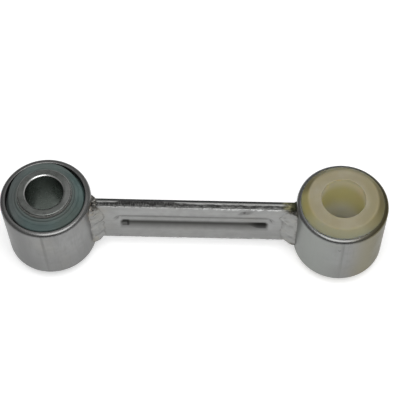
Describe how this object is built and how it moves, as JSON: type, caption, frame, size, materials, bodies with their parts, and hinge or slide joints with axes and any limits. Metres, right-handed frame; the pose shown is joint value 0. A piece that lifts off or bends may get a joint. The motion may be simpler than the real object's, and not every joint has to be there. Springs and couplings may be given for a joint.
{
  "type": "stabilizer link",
  "caption": "Short anti-roll bar link: flat steel bar with a pressed bead, a welded eye at each end, one with a rubber bush and steel sleeve, the other with a plain nylon bush.",
  "frame": {"origin": "midway between the axes of the two eyes, at half the length of the eyes", "axes": "+X along the bar from the rubber eye to the nylon eye, +Z along the axes of both eyes, +Y across the bar towards its ribbed back face"},
  "size_m": [0.17, 0.04, 0.042],
  "materials": {
    "zinc_bar": "zinc plated sheet steel, sheared edges",
    "zinc_eye": "zinc plated rolled strip",
    "weld_metal": "rippled weld metal under zinc, with brown heat tint",
    "bush_rubber": "matt moulded rubber, grey green",
    "sleeve_steel": "turned steel, satin",
    "bush_nylon": "natural nylon, cream, slightly translucent"
  },
  "bodies": {
    "link": {"link_bar": "zinc_bar", "rubber_eye": "zinc_eye", "nylon_eye": "zinc_eye", "rubber_eye_front_weld": "weld_metal", "rubber_eye_back_weld": "weld_metal", "nylon_eye_front_weld": "weld_metal", "nylon_eye_back_weld": "weld_metal", "nylon_bush": "bush_nylon"},
    "bush": {"rubber_bush": "bush_rubber"},
    "sleeve": {"inner_sleeve": "sleeve_steel"}
  },
  "joints": [
    {"name": "bush_twist", "type": "hinge", "parent": "link", "child": "bush", "pos_m": [-0.065, 0, 0], "axis": [0, 0, 1], "range_deg": [-20, 20], "stiffness_Nm_per_rad": 40},
    {"name": "sleeve_tilt", "type": "hinge", "parent": "bush", "child": "sleeve", "pos_m": [-0.065, 0, 0], "axis": [0, 1, 0], "range_deg": [-4, 4], "stiffness_Nm_per_rad": 120, "deforming": ["rubber_bush"]}
  ]
}
